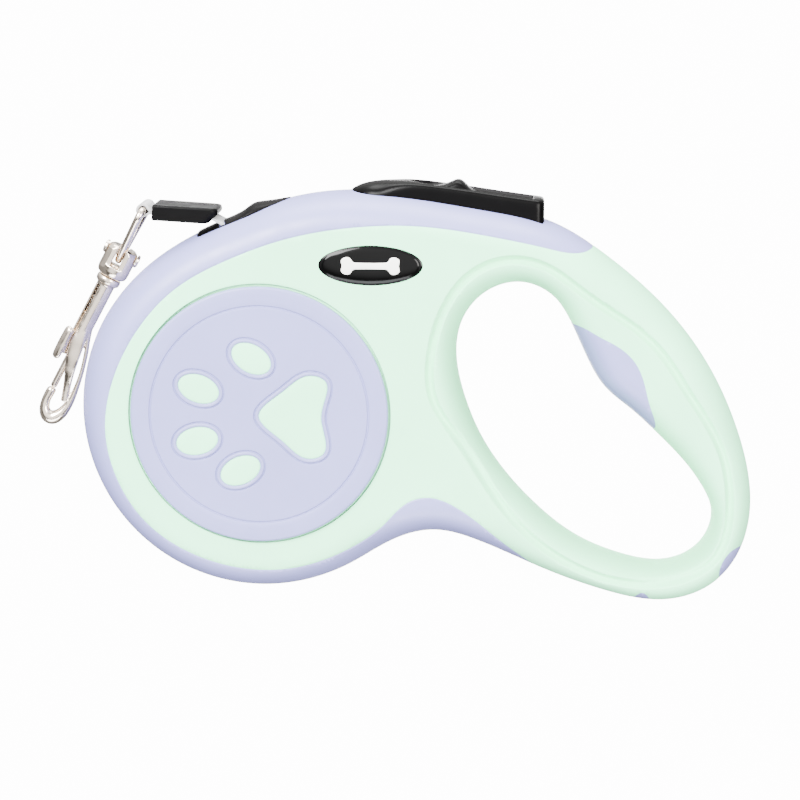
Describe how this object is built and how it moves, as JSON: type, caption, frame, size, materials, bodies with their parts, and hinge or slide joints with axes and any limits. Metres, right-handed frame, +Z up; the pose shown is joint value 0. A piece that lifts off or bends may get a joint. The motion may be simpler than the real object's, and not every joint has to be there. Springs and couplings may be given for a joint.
{
  "type": "retractable dog leash",
  "caption": "Retractable dog leash with a spring reel in a two-shell casing, finger-hole handle, thumb brake with lock, and a swivel snap hook.",
  "frame": {"origin": "middle of the grip, the stretch of handle that the palm closes on", "axes": "+X from the reel to the handle along the casing, +Y from the front face to the rear face, +Z up to the brake lever"},
  "size_m": [0.1929, 0.033, 0.1134],
  "materials": {
    "shell": "fine satin moulded ABS, lilac",
    "overmould": "soft matt thermoplastic rubber, mint",
    "disc": "satin lilac plastic",
    "paw_pads": "soft matt mint rubber",
    "badge": "domed gloss black",
    "outlet": "satin black",
    "lever": "semi-gloss black",
    "slider": "semi-gloss black",
    "pawl": "natural acetal",
    "sleeve": "satin black",
    "tape": "woven white polyester tape",
    "reel": "natural polypropylene",
    "steel": "bright turned steel",
    "screws": "zinc-plated",
    "spring_steel": "blued spring steel",
    "nickel": "nickel-plated zinc and steel"
  },
  "bodies": {
    "casing": {"front_shell": "shell", "rear_shell": "shell", "front_overmould": "overmould", "rear_overmould": "overmould", "front_disc": "disc", "rear_disc": "disc", "front_paw_pads": "paw_pads", "rear_paw_pads": "paw_pads", "front_badge": "badge", "rear_badge": "badge", "tape_outlet": "outlet", "spring_arbor": "steel", "arbor_screws": "screws", "thrust_washers": "steel", "tape_run": "tape", "lever_pin": "steel", "pawl_pin": "steel", "lever_spring": "spring_steel", "pawl_spring": "spring_steel", "case_screws": "screws"},
    "reel": {"reel": "reel", "reel_cheek": "reel", "cheek_screws": "screws", "power_spring": "spring_steel", "wound_tape": "tape"},
    "brake_lever": {"brake_lever": "lever"},
    "lock_slider": {"lock_slider": "slider"},
    "brake_pawl": {"brake_pawl": "pawl"},
    "tape_end": {"tape_end": "tape", "end_sleeve": "sleeve"},
    "eye_link": {"eye_link": "nickel"},
    "clevis": {"swivel_clevis": "nickel", "clevis_pin": "nickel"},
    "snap_hook": {"snap_body": "nickel", "bolt_spring": "spring_steel"},
    "snap_bolt": {"snap_bolt": "nickel"}
  },
  "joints": [
    {"name": "tape_pull", "type": "slide", "parent": "casing", "child": "tape_end", "axis": [-0.8751, 0, 0.484], "range_m": [0, 4.8], "stiffness_N_per_m": 1, "springref_m": -6},
    {"name": "reel_spin", "type": "hinge", "parent": "casing", "child": "reel", "pos_m": [-0.1025, 0, -0.013], "axis": [0, 1, 0], "range_deg": [-9370, 10], "deforming": ["power_spring"]},
    {"name": "brake_press", "type": "hinge", "parent": "casing", "child": "brake_lever", "pos_m": [-0.0735, 0, 0.04], "axis": [0, 1, 0], "range_deg": [0, 4], "stiffness_Nm_per_rad": 1.5, "springref_deg": -6.88, "deforming": ["lever_spring"]},
    {"name": "pawl_turn", "type": "hinge", "parent": "casing", "child": "brake_pawl", "pos_m": [-0.0575, 0, 0.0145], "axis": [0, 1, 0], "range_deg": [-5, 0.5], "deforming": ["pawl_spring"]},
    {"name": "lock_slide", "type": "slide", "parent": "brake_lever", "child": "lock_slider", "axis": [-0.9941, 0, 0.1084], "range_m": [0, 0.004]},
    {"name": "link_swing", "type": "hinge", "parent": "tape_end", "child": "eye_link", "pos_m": [-0.13412, 0, 0.04022], "axis": [0, 1, 0], "range_deg": [0, 115]},
    {"name": "clevis_rock", "type": "hinge", "parent": "eye_link", "child": "clevis", "pos_m": [-0.14069, 0, 0.02786], "axis": [0.8829, 0, -0.4695], "range_deg": [-35, 35]},
    {"name": "swivel_spin", "type": "hinge", "parent": "clevis", "child": "snap_hook", "pos_m": [-0.14445, 0, 0.0208], "axis": [0.4695, 0, 0.8829], "continuous": true},
    {"name": "bolt_slide", "type": "slide", "parent": "snap_hook", "child": "snap_bolt", "axis": [0.4695, 0, 0.8829], "range_m": [0, 0.0055], "stiffness_N_per_m": 250, "springref_m": -0.006, "deforming": ["bolt_spring"]}
  ],
  "couplings": [
    {"joint": "reel_spin", "follows": "tape_pull", "rad_per_m": -34.034},
    {"joint": "pawl_turn", "follows": "brake_press", "ratio": -1.05}
  ]
}
